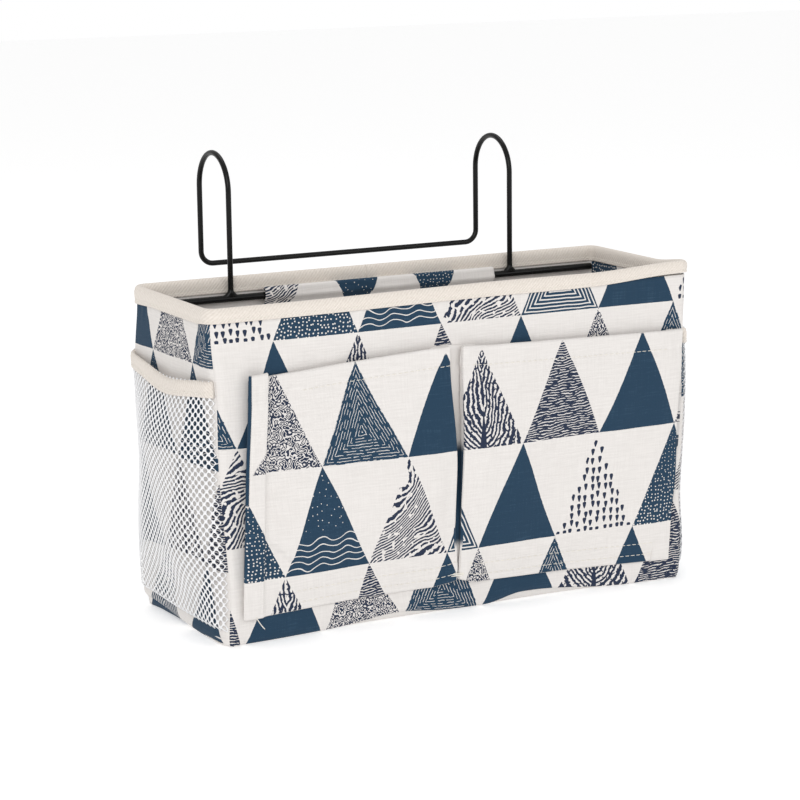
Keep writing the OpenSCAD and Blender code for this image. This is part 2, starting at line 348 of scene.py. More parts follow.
def stitch_row(points, normals, length=3.3, gap=0.55, radius=0.21):
    """Lock stitches along a polyline on cloth: short threads that dip into it at both ends."""
    points, normals = np.asarray(points, float), np.asarray(normals, float)
    at = distances(points)
    count = int(at[-1] // (length + gap))
    height = np.array([-0.25, 0.12, 0.2, 0.12, -0.25])
    shape = np.array([0.55, 1, 1, 1, 0.55])
    parts = []
    for i in range(count):
        start = (i + 0.5) * at[-1] / count - length / 2
        t = np.linspace(start, start + length, len(height))
        dip = along_line(t, at, normals) * height[:, None]
        parts.append(tube(along_line(t, at, points) + dip, radius * shape, 6))
    return join(parts)


# ---------------- shader values

class Value:
    """A shader number; arithmetic on it adds Math nodes."""

    def __init__(self, tree, socket):
        self.tree = tree
        self.socket = socket

    def calc(self, operation, *others):
        node = add_node(self.tree, "Math", dict(enumerate((self, *others))), operation=operation)
        return Value(self.tree, node.outputs[0])

    def __neg__(self):
        return self * -1

    def __rsub__(self, other):
        return (-self) + other

    def equals(self, number):
        return self.calc("COMPARE", number, 0.5)

    __add__ = __radd__ = partialmethod(calc, "ADD")
    __sub__ = partialmethod(calc, "SUBTRACT")
    __mul__ = __rmul__ = partialmethod(calc, "MULTIPLY")
    above = partialmethod(calc, "GREATER_THAN")
    below = partialmethod(calc, "LESS_THAN")
    least = partialmethod(calc, "MINIMUM")
    most = partialmethod(calc, "MAXIMUM")
    floor = partialmethod(calc, "FLOOR")
    fract = partialmethod(calc, "FRACT")
    abs = partialmethod(calc, "ABSOLUTE")
    sin = partialmethod(calc, "SINE")
    wrap = partialmethod(calc, "FLOORED_MODULO")      # the remainder after division, never negative


def plug(item, slot):
    """Puts a Value or a plain number into an input."""
    if isinstance(item, Value):
        item.tree.links.new(item.socket, slot)
    else:
        slot.default_value = item


def add_node(tree, kind, inputs, **settings):
    """A shader node with its settings made and its inputs, by name or number, plugged in."""
    node = tree.nodes.new("ShaderNode" + kind)
    for name, setting in settings.items():
        setattr(node, name, setting)
    for name, item in inputs.items():
        plug(item, node.inputs[name])
    return node


def vector(x, y):
    node = add_node(x.tree, "CombineXYZ", {"X": x, "Y": y})
    return Value(x.tree, node.outputs[0])


def split(place):
    node = add_node(place.tree, "SeparateXYZ", {0: place})
    return Value(place.tree, node.outputs[0]), Value(place.tree, node.outputs[1])


def noise(place, scale, detail=2.0, dims="2D"):
    """Noise from 0 to 1 at a place, in features per unit."""
    inputs = {"Vector": place, "Scale": scale, "Detail": detail, "Roughness": 0.5}
    node = add_node(place.tree, "TexNoise", inputs, noise_dimensions=dims)
    return Value(place.tree, node.outputs[0])


def voronoi(place, scale, randomness, output="Distance"):
    """Distance to the nearest of a grid of scattered points, or that point's own position."""
    inputs = {"Vector": place, "Scale": scale, "Randomness": randomness}
    node = add_node(place.tree, "TexVoronoi", inputs, voronoi_dimensions="2D")
    return Value(place.tree, node.outputs[output])


def from_nearest_point(place, randomness):
    """A place seen from the nearest of a grid of scattered points, one point per unit square."""
    point = voronoi(place, 1.0, randomness, "Position")
    away = add_node(place.tree, "VectorMath", {0: place, 1: point}, operation="SUBTRACT")
    return split(Value(place.tree, away.outputs[0]))


def mix_colour(factor, first, second):
    """A colour between two, each a Value or a tuple of red, green and blue."""
    ends = [item if isinstance(item, Value) else (*item, 1.0) for item in (first, second)]
    node = add_node(factor.tree, "Mix", {0: factor, 6: ends[0], 7: ends[1]}, data_type="RGBA")
    return Value(factor.tree, node.outputs[2])


def cloth_uv(tree):
    """Millimetres along and across the cloth, from the piece's own map."""
    node = add_node(tree, "UVMap", {}, uv_map="cloth")
    u, v = split(Value(tree, node.outputs[0]))
    return u * (1 / MM), v * (1 / MM)


def new_material(name, roughness, sheen=0.0, metallic=0.0, specular=0.5):
    """A material with one Principled shader. Returns the material, its tree and the shader's inputs."""
    material = bpy.data.materials.new(name)
    material.use_nodes = True
    tree = material.node_tree
    inputs = tree.nodes["Principled BSDF"].inputs
    plug(roughness, inputs["Roughness"])
    plug(sheen, inputs["Sheen Weight"])
    plug(0.5, inputs["Sheen Roughness"])
    plug(metallic, inputs["Metallic"])
    plug(specular, inputs["Specular IOR Level"])
    return material, tree, inputs


def add_bump(inputs, height, distance_mm, strength=1.0):
    slots = {"Strength": strength, "Distance": distance_mm * MM, "Height": height}
    node = add_node(height.tree, "Bump", slots)
    height.tree.links.new(node.outputs[0], inputs["Normal"])


# ---------------- the print

DROPS_ACROSS = 0.215      # drops per millimetre
DROPS_UP = 0.19


def stripes(value, pitch, share):
    """1 on the first share of every pitch of a value, 0 on the rest."""
    return (value * (1 / pitch)).fract().below(share)


def half_width(y):
    """Half the width of a triangle at a height y above its base."""
    return (1 - y * (1 / PRINT_H)) * (PRINT_P / 2)


def drops_ink(x, y, p):
    """Drops scattered in rows, each left out where it would cross the triangle's edge."""
    drop_x, drop_y = from_nearest_point(vector(p * DROPS_ACROSS, y * DROPS_UP - 0.1), 0.40)
    middle_y = y - drop_y * (1 / DROPS_UP)
    whole_drop = (half_width(middle_y) - (x - drop_x * (1 / DROPS_ACROSS)).abs()).above(0.9)
    slim = drop_x.abs() * (1 / DROPS_ACROSS) * (1.15 - drop_y * 1.7)
    tall = drop_y * (1 / DROPS_UP) * 0.58
    return (slim * slim + tall * tall).below(1.45) * whole_drop * y.above(0.9)


def print_motifs(x, y, p, q):
    """Ink of each motif, 1 inked and 0 bare, for a point x from the triangle's middle and y above its base.

    p and q are the same point in the cloth's own plane, so that no two triangles come out alike.
    """
    place = vector(p, q)
    soft = noise(place, 0.09, 1.0) - 0.5
    fine = noise(place, 0.45, 1.0) - 0.5
    flow = noise(place, 0.035, 0.0) - 0.5
    edge = ((half_width(y) - x.abs()) * 0.91).least(y)
    dots = voronoi(place, 0.42, 0.6).above((1 - y * (1 / PRINT_H)) * 0.15 + 0.07)

    swell = (y + (x * (TAU / 17)).sin() * 1.4 - x * 0.05 + soft * 3) * (1 / 3.9)
    crest = swell.fract().below(0.15) * swell.floor().above(0.5) * swell.floor().below(5.5)
    specks = voronoi(place, 0.24, 0.95).below(fine * 0.08 + 0.07) * y.above(25)

    lean = x * 0.50 - y * 0.60 + flow * 16 + soft * 2.5 + fine * 0.7
    fur = stripes(lean, 1.85, 0.56) * noise(place, 0.28, 0.0).above(0.28)

    steep = y * 0.045 + 0.40
    fan = (y - x.abs() * steep) * (steep * steep + 1).calc("POWER", -0.5) + flow * 7 + soft * 3.5 + fine * 1.2
    trunk = x.abs().below((-y + 24) * 0.1)
    fork = noise(place, 0.5, 0.0).above(0.68)

    dash = noise(vector(p * 0.22 - q * 0.05, q * 0.9), 1.0, 0.0).above(0.38)
    groove = noise(place, 0.3, 0.0).above(0.38)
    inks = {
        "solid": y.above(-1), "dots": dots, "waves": 1 - crest.most(specks), "fur": fur,
        "nested": 1 - stripes(edge + soft * 0.8 + 1.2, 2.3, 0.34),
        "tree": stripes(fan, 2.2, 0.56).most(fork).most(trunk),
        "weave": 1 - stripes(y - x * 0.06 + fine * 0.9 + soft * 3, 1.6, 0.30) * dash,
        "maze": (noise(place, 0.40, 0.0) * 3.1).fract().below(0.60),
        "rings": 1 - stripes(edge + fine * 0.8 + soft * 0.6, 1.75, 0.17) * groove,
        "drops": drops_ink(x, y, p),
    }
    return inks, edge + fine * 0.35


def print_ink(u, v):
    """(share of ink, share of that ink that is the darker one) of the print at u, v in millimetres."""
    down = -v
    row = (down * (1 / PRINT_H)).floor()
    odd = row.wrap(2)
    y = (row + 1) * PRINT_H - down
    shifted = u * (1 / PRINT_P) + odd * 0.5
    col = shifted.floor()
    x = (shifted - col - 0.5) * PRINT_P
    repeat = len(ROW_A)
    kind = (col + (row * 0.5).floor() * (repeat / 2)).wrap(repeat) + odd * repeat
    inks, edge = print_motifs(x, y, u, v)
    here = {name: [] for name in inks}
    for number, motif in enumerate(ROW_A + ROW_B):
        here[motif].append(kind.equals(number))
    ink = sum(sum(here[name]) * value for name, value in inks.items())
    dark = sum(sum(here[name]) for name in DARK_MOTIFS)
    return ink * edge.above(0), dark


# ---------------- materials

CANVAS = (0.765, 0.735, 0.71)
CANVAS_SHADE = (0.70, 0.67, 0.645)
INK_BLUE = (0.018, 0.047, 0.085)
INK_BLUE_WORN = (0.045, 0.092, 0.145)
INK_DARK = (0.022, 0.032, 0.062)
YARN_PITCH = 1.1
TWILL_PITCH = 1.9


def slubs(u, v):
    """Thick and thin yarns both ways, about 0.5 in the middle."""
    across = noise(vector(u * 0.06, v * 1.1), 1.0)
    along = noise(vector(u * 1.1, v * 0.06), 1.0)
    return across * 0.6 + along * 0.4


def canvas_material(name, printed):
    material, tree, inputs = new_material(name, 0.85, sheen=0.06, specular=0.15)
    u, v = cloth_uv(tree)
    yarn = slubs(u, v)
    colour = mix_colour((yarn - 0.34) * 2.6, CANVAS_SHADE, CANVAS)
    if printed:
        ink, dark = print_ink(u, v)
        attribute = add_node(tree, "Attribute", {}, attribute_name="ink")
        inked = Value(tree, attribute.outputs["Fac"])
        worn = noise(vector(u, v), 0.06, 3.0)
        blue = mix_colour((yarn - 0.55) * 2.0 + (worn - 0.5) * 0.6, INK_BLUE, INK_BLUE_WORN)
        colour = mix_colour(ink * inked, colour, mix_colour(dark, blue, INK_DARK))
    plug(colour, inputs["Base Color"])
    weave = (u * (TAU / YARN_PITCH)).sin() * (v * (TAU / YARN_PITCH)).sin() * 0.5 + 0.5
    add_bump(inputs, weave * 0.3 + yarn, 0.35, 0.55)
    return material


def twill_material():
    material, tree, inputs = new_material("twill_tape", 0.8, sheen=0.2, specular=0.3)
    u, v = cloth_uv(tree)
    wander = noise(vector(u, v), 0.05) - 0.5
    rib = ((u * 0.85 - v * 0.75 + wander * 1.2) * (TAU / TWILL_PITCH)).sin() * 0.5 + 0.5
    yarn = noise(vector(u * 0.6, v * 0.6), 1.0)
    # The colour is darker in the grooves between the ribs, which is painted shade, and varies with the yarn's
    # own tone.
    plug(mix_colour(rib * 0.35 + yarn * 0.6, (0.64, 0.575, 0.51), (0.85, 0.79, 0.725)), inputs["Base Color"])
    add_bump(inputs, rib + yarn * 0.4, 0.22, 0.8)
    return material


def mottled_material(name, low, high, scale, roughness, bump_mm, **looks):
    """Two close colours mottled by fine noise, with the noise as relief and in the roughness."""
    material, tree, inputs = new_material(name, roughness, **looks)
    place = Value(tree, add_node(tree, "TexCoord", {}).outputs["Object"])
    grain = noise(place, scale, 3.0, dims="3D")
    plug(mix_colour(grain, low, high), inputs["Base Color"])
    plug((grain - 0.5) * 0.2 + roughness, inputs["Roughness"])
    add_bump(inputs, grain, bump_mm)
    return material


printed_canvas = canvas_material("printed_canvas", True)
plain_lining = canvas_material("plain_lining", False)
twill_tape = twill_material()
net_cord = mottled_material("net", (0.80, 0.80, 0.81), (0.93, 0.93, 0.94), 900, 0.55, 0.04)
thread = mottled_material("thread", (0.68, 0.64, 0.56), (0.88, 0.85, 0.78), 1500, 0.6, 0.06, sheen=0.2)
hook_and_loop = mottled_material(
    "hook_and_loop", (0.62, 0.62, 0.60), (0.86, 0.86, 0.84), 1400, 0.9, 0.3, sheen=0.3)
board = mottled_material("board", (0.30, 0.21, 0.13), (0.46, 0.34, 0.22), 500, 0.85, 0.08)
spring_wire = mottled_material("spring_wire", (0.50,) * 3, (0.62, 0.62, 0.61), 300, 0.3, 0.01, metallic=1.0)
black_wire = mottled_material("black_wire", (0.003,) * 3, (0.007,) * 3, 450, 0.24, 0.01, specular=0.20)


# ---------------- walls

WALL_TURN = 44.4       # degrees of each corner that a wall runs round, a little short of half
WALL_BOTTOM = 0.3
FRONT_V = -(3 * PRINT_H + 57.0)      # where in the print the walls' lower edge is
OUTER_LAYER = (CANVAS_IN, CANVAS_T)
INNER_LAYER = (LINING_IN, LINING_T)


def wall_path(side, inset, flat_steps):
    """Points and outward normals in plan of one wall, from seam to seam, and its own distance s."""
    half_run, half_off = BAG_W / 2 - inset, BAG_D / 2 - inset
    if side in ("left", "right"):
        half_run, half_off = half_off, half_run
    r = CORNER_R - inset
    run, off = half_run - r, half_off - r
    first, first_normals = arc(-run, -off, r, 270 - WALL_TURN, 270, 6)
    last, last_normals = arc(run, -off, r, 270, 270 + WALL_TURN, 6)
    flat = stacked(np.linspace(-run, run, flat_steps + 1)[1:-1], -off - r)
    points = np.concatenate([first, flat, last])
    normals = np.concatenate([first_normals, np.broadcast_to([0, -1], flat.shape), last_normals])
    s = distances(points)
    turn = math.radians({"front": 0, "right": 90, "back": 180, "left": -90}[side])
    spin = np.array([[math.cos(turn), math.sin(turn)], [-math.sin(turn), math.cos(turn)]])
    return points @ spin, normals @ spin, s - s[-1] / 2


def wall_surface(side, inset):
    """Outer face of one layer of a wall as a grid, its lower edge curled in towards the base.

    The canvas, which is the layer nearest the outside, is puckered where the rim's binding is sewn on.
    """
    rows, flat_steps = (96, 160) if side in ("front", "back") else (84, 48)
    points, normals, s = wall_path(side, inset, flat_steps)
    z = WALL_BOTTOM + (PANEL_HIGH[2] - WALL_BOTTOM) * np.linspace(0, 1, rows) ** 1.15
    curl = 1.5 * (1 - np.clip(z / 6, 0, 1)) ** 2
    pucker = 0.30 * bump(z, RIM_BOTTOM - 2, 7)[:, None] * np.sin(s * TAU / 7.5 + np.sin(s / 19) * 2)
    out = pucker * (inset < LINING_IN) - curl[:, None]
    plan = points + normals * out[..., None]
    return soften(stacked(plan[..., 0], plan[..., 1], z[:, None])), s, z


def add_wall(node, layer, material, u0, v0, mirrored=False):
    """One layer of a wall; u0 and v0 are where in the print the middle of its lower edge is."""
    inset, thickness = layer
    grid, s, z = wall_surface(node.split("_")[0], inset)
    u = u0 + (-s if mirrored else s)
    verts, faces, uv = slab(grid, thickness, stacked(u, z[:, None] + v0))
    new_piece(node, verts, faces, material, uv=uv, ink=np.ones(len(verts)), folds=True)
    return grid


front_grid = add_wall("front_panel", OUTER_LAYER, printed_canvas, 178.5, FRONT_V)
add_wall("back_panel", OUTER_LAYER, printed_canvas, 20, FRONT_V)
add_wall("left_side_panel", OUTER_LAYER, printed_canvas, 272.5, -(2 * PRINT_H + 165))
add_wall("right_side_panel", OUTER_LAYER, printed_canvas, 100, FRONT_V)
add_wall("front_lining", INNER_LAYER, plain_lining, 0, 0)
add_wall("back_lining", INNER_LAYER, plain_lining, 0, 0)
add_wall("left_lining", INNER_LAYER, printed_canvas, 130, FRONT_V, mirrored=True)
add_wall("right_lining", INNER_LAYER, printed_canvas, 130.4, FRONT_V, mirrored=True)


# ---------------- base

BASE_CORNER_R = 9.0
BASE_U = 40      # where in the print the middle of the base is


def base_sheet(half_x, half_y, z0, edge_rise):
    """A rounded rectangle as a grid with its print positions.

    Its edge curls up, and its ends and back corners spread, to meet the walls.
    """
    r = BASE_CORNER_R
    a = np.linspace(-1, 1, 97)
    b = np.linspace(-1, 1, 41)[:, None]
    x = half_x * np.sign(a) * (1 - (1 - np.abs(a)) ** 1.4)
    over = np.clip(np.abs(x) - (half_x - r), 0, r)
    depth = half_y - r + np.sqrt(np.maximum(r * r - over * over, 0.04))
    across = np.sign(b) * (1 - (1 - np.abs(b)) ** 1.6)
    gx, gy = np.broadcast_arrays(x, across * depth)
    from_end = half_x - np.abs(gx)
    edge = np.minimum(from_end, (1 - np.abs(across)) * depth)
    spread = 1 + 0.075 * smooth(14, 0, edge) * smooth(60, 150, np.abs(gx))
    corner = 3.0 * smooth(138, 156, np.abs(gx)) * smooth(34, 50, np.abs(gy))
    wider = 1.6 * smooth(10, 0, from_end) * smooth(0, 40, gy) + 0.7 * corner * (gy > 0)
    grid = stacked(gx + np.sign(gx) * wider, gy * spread + np.sign(gy) * corner * 0.9, z0)
    grid[..., 2] += smooth(1.5, 0, edge) * (edge_rise + base_lift(grid[..., 0], grid[..., 1]))
    return grid, stacked(gx + BASE_U, gy)


def add_base(node, faces_up, thickness, edge_rise, material):
    """The cloth under the board, or the lining over it; the board's cover is printed at the back only."""
    low, high = cad_box(node)
    grid, uv = base_sheet(high[0], high[1], high[2] if faces_up else low[2] + 0.02, edge_rise)
    if not faces_up:
        grid, uv = grid[::-1], uv[::-1]
    verts, faces, all_uv = slab(grid, thickness, uv)
    new_piece(node, verts, faces, material, "base", all_uv, smooth(-30, -10, verts[:, 1]))


add_base("base_panel", False, 0.9, 0.7, printed_canvas)
add_base("base_lining", True, 0.7, 0.6, plain_lining)
paint_node("base_board", board)


# ---------------- rim

BINDING_H = 9.75
RIM_OVERLAP = 7.0            # how far the binding runs past its own beginning, at the middle of the back
STITCHED_POINTS = (4, 16)    # points of the binding's profile along which it is sewn, outside and inside


def rim_loop(count):
    """Middle line of the rim in plan with outward normals, counter-clockwise from the middle of the back."""
    half = RIM_T / 2
    hx, hy, r = BAG_W / 2 - half, BAG_D / 2 - half, CORNER_R - half
    corners = [(-1, 1, 90), (-1, -1, 180), (1, -1, 270), (1, 1, 0)]
    arcs = [arc(i * (hx - r), j * (hy - r), r, start, start + 90, 12) for i, j, start in corners]
    middle = ([[0.0, hy]], [[0.0, 1.0]])
    points, normals = (np.concatenate(parts) for parts in zip(middle, *arcs, middle))
    at = distances(points)
    t = np.linspace(0, at[-1] + RIM_OVERLAP, count)
    return along_line(t % at[-1], at, points), unit(along_line(t % at[-1], at, normals)), t, at[-1]


def rim_wave(place):
    """How far the rim rises and falls: the front edge bows up past its middle and at its right end."""
    x, y = place[:, 0], place[:, 1]
    bow = 1.2 * np.sin((x / BAG_W + 0.5) * math.pi) * smooth(-130, 40, x)
    return smooth(-20, -56, y) * (bow + 3.4 * smooth(90, 160, x))


def binding_profile():
    """Section of the tape folded over the rim as (out, up), from its outer edge over the top inwards."""
    half = RIM_T / 2
    return np.array([
        (half - 0.95, 0.0), (half - 0.3, -0.25), (half + 0.15, 0.15), (half + 0.12, 1.0), (half - 0.12, 1.9),
        (half + 0.15, 3.2), (half + 0.3, 5.0), (half + 0.15, 6.9), (half - 0.5, 8.6), (half - 1.4, 9.4),
        (0, BINDING_H), (-half + 1.4, 9.4), (-half + 0.5, 8.6), (-half - 0.1, 6.9), (-half - 0.2, 5.0),
        (-half - 0.1, 3.2), (-half + 0.15, 1.9), (-half - 0.1, 1.0), (-half - 0.05, 0.2), (-half + 0.4, -0.2),
        (-half + 1.0, 0.0), (-half + 1.05, 4.4), (half - 1.05, 4.4)])


def add_rim_binding():
    """The tape round the rim: its outer face reaches lowest at the back, least far at the front right."""
    place, normal, t, around = rim_loop(420)
    phase = np.random.default_rng(5).uniform(0, TAU, 8)
    ripple = sum(np.sin(t * TAU / around * n + p) for n, p in zip((9, 15, 24, 38, 6), phase)) / 4
    profile = binding_profile()
    out, up = profile.T
    front = smooth(-40, -56, place[:, 1])
    side = smooth(56, 20, place[:, 1])
    fall = 1.12 - 0.12 * side - (0.12 + 0.12 * smooth(60, 150, place[:, 0])) * front
    end_fold = 0.45 * np.sign(out) * smooth(around - 3, around, t)[:, None]
    rippled = 0.14 * ripple[:, None] * np.where(out > 0, 1, 0.4) * smooth(1.5, 5, up)
    plan = place[:, None] + normal[:, None] * (out + end_fold + rippled)[..., None]
    below_top = (BINDING_H - up) * np.where(out > 0, fall[:, None], 1.02)
    z = RIM_BOTTOM + BINDING_H - below_top + rim_wave(place)[:, None]
    verts = stacked(plan[..., 0], plan[..., 1], z)
    uv = stacked(t[:, None], distances(profile)).reshape(-1, 2)
    new_piece("rim_binding", verts.reshape(-1, 3), tube_faces(len(t), len(profile)), twill_tape, uv=uv)
    outward = stacked(normal[:, 0], normal[:, 1], 0)
    rows = [stitch_row(verts[:, k], way * outward) for k, way in zip(STITCHED_POINTS, (1, -1))]
    new_piece("rim_stitching", *join(rows), thread)


add_rim_binding()
paint_node("rim_wire", spring_wire)


# ---------------- front pockets

LEFT_POCKET_U = 400.9      # print positions of the two pockets, and how far the print leans or stretches
RIGHT_POCKET_U = 432.0
LEFT_POCKET_SKEW = 0.105
RIGHT_POCKET_STRETCH = 0.038
SLIT_SHADE_U, SLIT_SHADE_V = 1.0 * PRINT_P, -1.8 * PRINT_H      # a place in the print within a plain triangle, whose dark blue in the slits beside the pleats is painted shade
STRIP_V = -(2 * PRINT_H + 102)
STRIP_H = 145.0            # from the lower seam to the mouth
SEAM_ROWS = (4.5, 11.5)    # rows of stitches above the lower seam
HEM_ROW = 11.0             # row of stitches below the mouth
DIVIDER_X = -4.0


def strip_controls(t):
    """Control points (x, depth) of the strip's plan for heights t from 0, the seam, to 1, the mouth.

    The left end is folded into a pleat, and each pocket folds under itself beside the divider's seam.
    Also where the parts lie, in shares of the way from the first to the last control point.
    """
    left = -148.0 + 6.6 * t
    right = 146.5 + 11.5 * t ** 0.8
    opened = smooth(0.0, 0.5, t)
    swell = smooth(-0.03, 0.5, t) ** 0.8
    column = 3.4 + 3.6 * opened
    ply = 2.5 + 0.3 * opened
    gap = 0.5 + 1.5 * smooth(0.02, 0.25, t) + 0.6 * smooth(0.5, 1, t)
    held = 1 - 0.42 * smooth(0.65, 1, t)
    proud = smooth(0.1, 0.7, t) * held

    def face(depth):
        return 1.3 + (depth - 1.3) * swell * held

    def pleat(side, rise, away):
        """From the pocket's face over its fold, away from the divider, and back to the divider's seam."""
        fold = DIVIDER_X + side * away
        return [
            (fold + side * 6, rise), (fold + side * 1.6, rise - 0.1), (fold, rise - 0.85), (fold, ply + 0.85),
            (fold + side * 1.6, ply + 0.1), (fold + side * 5, ply), (fold + side * 8, ply - 0.1),
            (fold + side * 9.6, (ply + 1.25) / 2), (fold + side * 8, 1.25), (DIVIDER_X + side * 3, 1.2),
        ]

    end = [
        (left + 14, 1.2), (left + 7, 1.25), (left + 2.2, 1.5), (left, (column + 1.4) / 2),
        (left + 2.2, column - 0.1), (left + 6, column + 0.1), (left + 11.2, column),
        (left + 12.4, column - 2.2 * opened), (left + 16, face(3.6)),
    ]
    left_face = [
        (left + 35, face(4.8)), (left + 58, face(6.2)), (-62, face(7.4)), (-40, face(8.4)), (-22, face(8.9)),
    ]
    left_pleat = pleat(-1, ply + 2.0 + 3.8 * proud, gap + 3.6 * smooth(0.45, 1, t))
    right_pleat = pleat(1, ply + 2.0 + 4.6 * proud, gap)
    right_face = [(18, face(8.8)), (42, face(8.6)), (66, face(8.2)), (90, face(7.8)), (118, face(7.2))]
    sewn = [
        (right - 12, face(6.2)), (right - 3, face(4.6)), (right, face(3.0)),
        (right - 2.5, 1.5), (right - 12, 1.2),
    ]
    points = end + left_face + left_pleat + right_pleat[::-1] + right_face + sewn
    marks = {"slit": (0, 3.7), "column": (3, 6.2), "left": (9, 16), "hidden": (16, 31), "right": (33, 39)}
    shares = {name: np.array(ends) / (len(points) - 1) for name, ends in marks.items()}
    return np.array([stacked(x + 0 * t, depth) for x, depth in points]), shares


def strip_bottom(x):
    return np.interp(x, [-150, -75, -20, -4, 10, 150], [16.0, 17.2, 17.2, 21.0, 17.0, 14.0])


def strip_top(x):
    places = [-142, -75, -9, -2, 2, 20, 94, 156]
    return np.interp(x, places, [157.0, 161.5, 165.4, 164.6, 164.4, 163.2, 161.5, 160.6])


def front_wall_y(x, z):
    """Where the front panel's outer face is, by interpolation in its grid."""
    rows, cols = front_grid.shape[:2]
    col = np.interp(x, front_grid[rows * 5 // 8, :, 0], np.arange(cols))
    row = np.interp(z, front_grid[:, cols // 2, 2], np.arange(rows))
    return sample_grid(front_grid, row, col)[..., 1]


def strip_shape(rows=104, cols=460):
    """The strip's outer face as a grid, and the shares of its columns where its parts begin and end."""
    t, share = np.linspace(0, 1, rows), np.linspace(0, 1, cols)
    controls, marks = strip_controls(t)
    x, depth = np.transpose(spline(controls, cols), (2, 1, 0))
    t = t[:, None]
    z = strip_bottom(x) + (strip_top(x) - strip_bottom(x)) * t
    z = z + 3.2 * smooth(0.92, 0.94, t) * between(share, *marks["column"])
    below_top, above_seam = (1 - t) * STRIP_H, t * STRIP_H
    stitched = bump(below_top, HEM_ROW, 1.3) + sum(bump(above_seam, row, 1.3) for row in SEAM_ROWS)
    pucker = np.sin(x * TAU / 6.7 + np.sin(x / 23) * 2) * (bump(above_seam, 8, 8) + bump(below_top, 10, 5))
    grid = stacked(x, front_wall_y(x, z) - depth - 0.25, z)
    creases = waves(grid * [1, 0, 1], 21, 10, 26, 70)[..., 0] * smooth(0, 0.25, t)
    grid[..., 1] += 0.30 * stitched - 0.16 * pucker - 0.85 * creases * (depth > 3)
    return grid, marks


def strip_print(grid, marks):
    """Print positions of the strip's face, and where it is inked.

    Behind the folds by the divider the print only passes from one pocket's position to the other's. What
    shows of those folds, and the left pleat's slit, lies in a plain triangle of the print: its dark blue
    there is painted shade, standing for the shade deep in the slits.
    """
    rows, cols = grid.shape[:2]
    t, share = np.linspace(0, 1, rows)[:, None], np.linspace(0, 1, cols)
    x, z = grid[..., 0], grid[..., 2]
    first, last = marks["hidden"]
    at_first, at_last = (x[rows // 2, int(mark * cols)] for mark in (first, last))
    hidden = np.clip((share - first) / (last - first), 0, 1)
    on_left = hidden < 0.5
    low = smooth(100, 45, z)
    turn = LEFT_POCKET_U + at_first + (RIGHT_POCKET_U + at_last - LEFT_POCKET_U - at_first) * hidden
    skew = LEFT_POCKET_SKEW * (z - 118) * bump(x, -62, 58) + 0.09 * (x + 88) * low * bump(x, -88, 60)
    mouth = np.clip((t - 0.4) / 0.6, 0, 1) * (1.8 + 1.6 * smooth(-60, -10, x) * on_left)
    stretch = 1 + RIGHT_POCKET_STRETCH * smooth(60, 150, z)
    on_faces = np.where(on_left, x - at_first, (x - at_last) / stretch)
    u = turn + on_faces * (np.abs(hidden - 0.5) > 0.499) + skew * (1 - hidden) - mouth
    v = z + STRIP_V + (2.2 + 1.4 * bump(x, -100, 60)) * low
    # The dark blue of a plain triangle, put in the divider's folds and the left pleat's slit, is painted
    # shade.
    inside = between(share, first + 0.005, last - 0.005)
    in_slit = (share < marks["slit"][1]) * (z > 84)
    slit_shade_area = inside + in_slit
    uv = stacked(np.where(slit_shade_area, SLIT_SHADE_U, u), np.where(slit_shade_area, SLIT_SHADE_V, v))

    from_left = x - x.min(axis=1, keepdims=True)
    pleat_top = smooth(-1, 1, z - 98 - 1.4 * from_left) * (from_left < 11.6) * ~in_slit
    bare = (share < marks["column"][1] + 0.02) * pleat_top
    bare = np.maximum(bare, inside * (smooth(100, 108, z) + smooth(46, 40, z)))
    above_apexes = z > -STRIP_V - PRINT_H - 1.2
    return uv, 1 - np.maximum(bare, above_apexes)


def add_pocket_strip():
    grid, marks = strip_shape()
    uv, inked = strip_print(grid, marks)
    below_top = np.linspace(STRIP_H, 0, len(grid))[:, None]
    verts, faces, all_uv = slab(grid, CANVAS_T + 0.8 * smooth(12.5, 10.5, below_top), uv)
    ink = np.concatenate([inked.ravel(), inked.ravel(), np.zeros(len(verts) - 2 * inked.size)])
    new_piece("front_pocket_strip", verts, faces, printed_canvas, uv=all_uv, ink=ink, folds=True)
    return grid, marks


strip_grid, strip_marks = add_pocket_strip()


def add_pocket_stitching():
    """Rows across both pockets, a tack at the foot of the divider and a loose thread at the left end."""
    rows, cols = strip_grid.shape[:2]
    parts = []
    for height in (*SEAM_ROWS, STRIP_H - HEM_ROW):
        for face in ("left", "right"):
            first, last = strip_marks[face] * (cols - 1)
            parts.append(stitch_row(*grid_row(strip_grid, height / STRIP_H * (rows - 1), first, last, 200)))
    tack = np.linspace(DIVIDER_X - 5, DIVIDER_X + 5, 5)
    y = front_wall_y(tack, 24 * np.ones(5)) - 4.3
    for height, radius in ((23.2, 0.45), (24.2, 0.4)):
        parts.append(tube(stacked(tack, y, height), radius))
    t = np.linspace(0, 1, 12)
    end = strip_grid[0, int(strip_marks["column"][1] * cols)]
    loose = stacked(end[0] - 4 + 4.5 * t, end[1] - 0.5 - 1.5 * t, end[2] + 0.5 - 9 * t + 2 * t * t)
    parts.append(tube(loose, 0.28, 6))
    new_piece("pocket_stitching", *join(parts), thread, folds=True)


add_pocket_stitching()


# ---------------- net pockets

SIDE_NAMES = {-1: "left", 1: "right"}
NET_PITCH_ALONG = 5.3
NET_PITCH_UP = 5.1
NET_CORD = 0.6
NET_FULLNESS = {-1: 1.0, 1: 0.7}      # how far the left and right nets hang out
NET_CLOSE_X = 166.0                   # beyond this the net stands off its wall
BAND_SHARE = 0.938                    # of the net's height, where its band begins
HOLE_SIDES = 8


def net_plan():
    """The left net seen from above, from its front seam round a ridge to its back seam, with x outwards."""
    points = [(163.0, -55.3), (165.3, -52.4), (168.2, -46.5), (172.2, -36.5), (175.8, -26), (177.4, -15),
              (177.2, 0), (176.0, 16), (173.6, 31), (168.8, 44), (163.4, 54.0), (160.7, 54.4)]
    curve = spline(np.array(points), 240)
    at = distances(curve)
    return curve, at / at[-1]


NET_CURVE, NET_SHARE = net_plan()


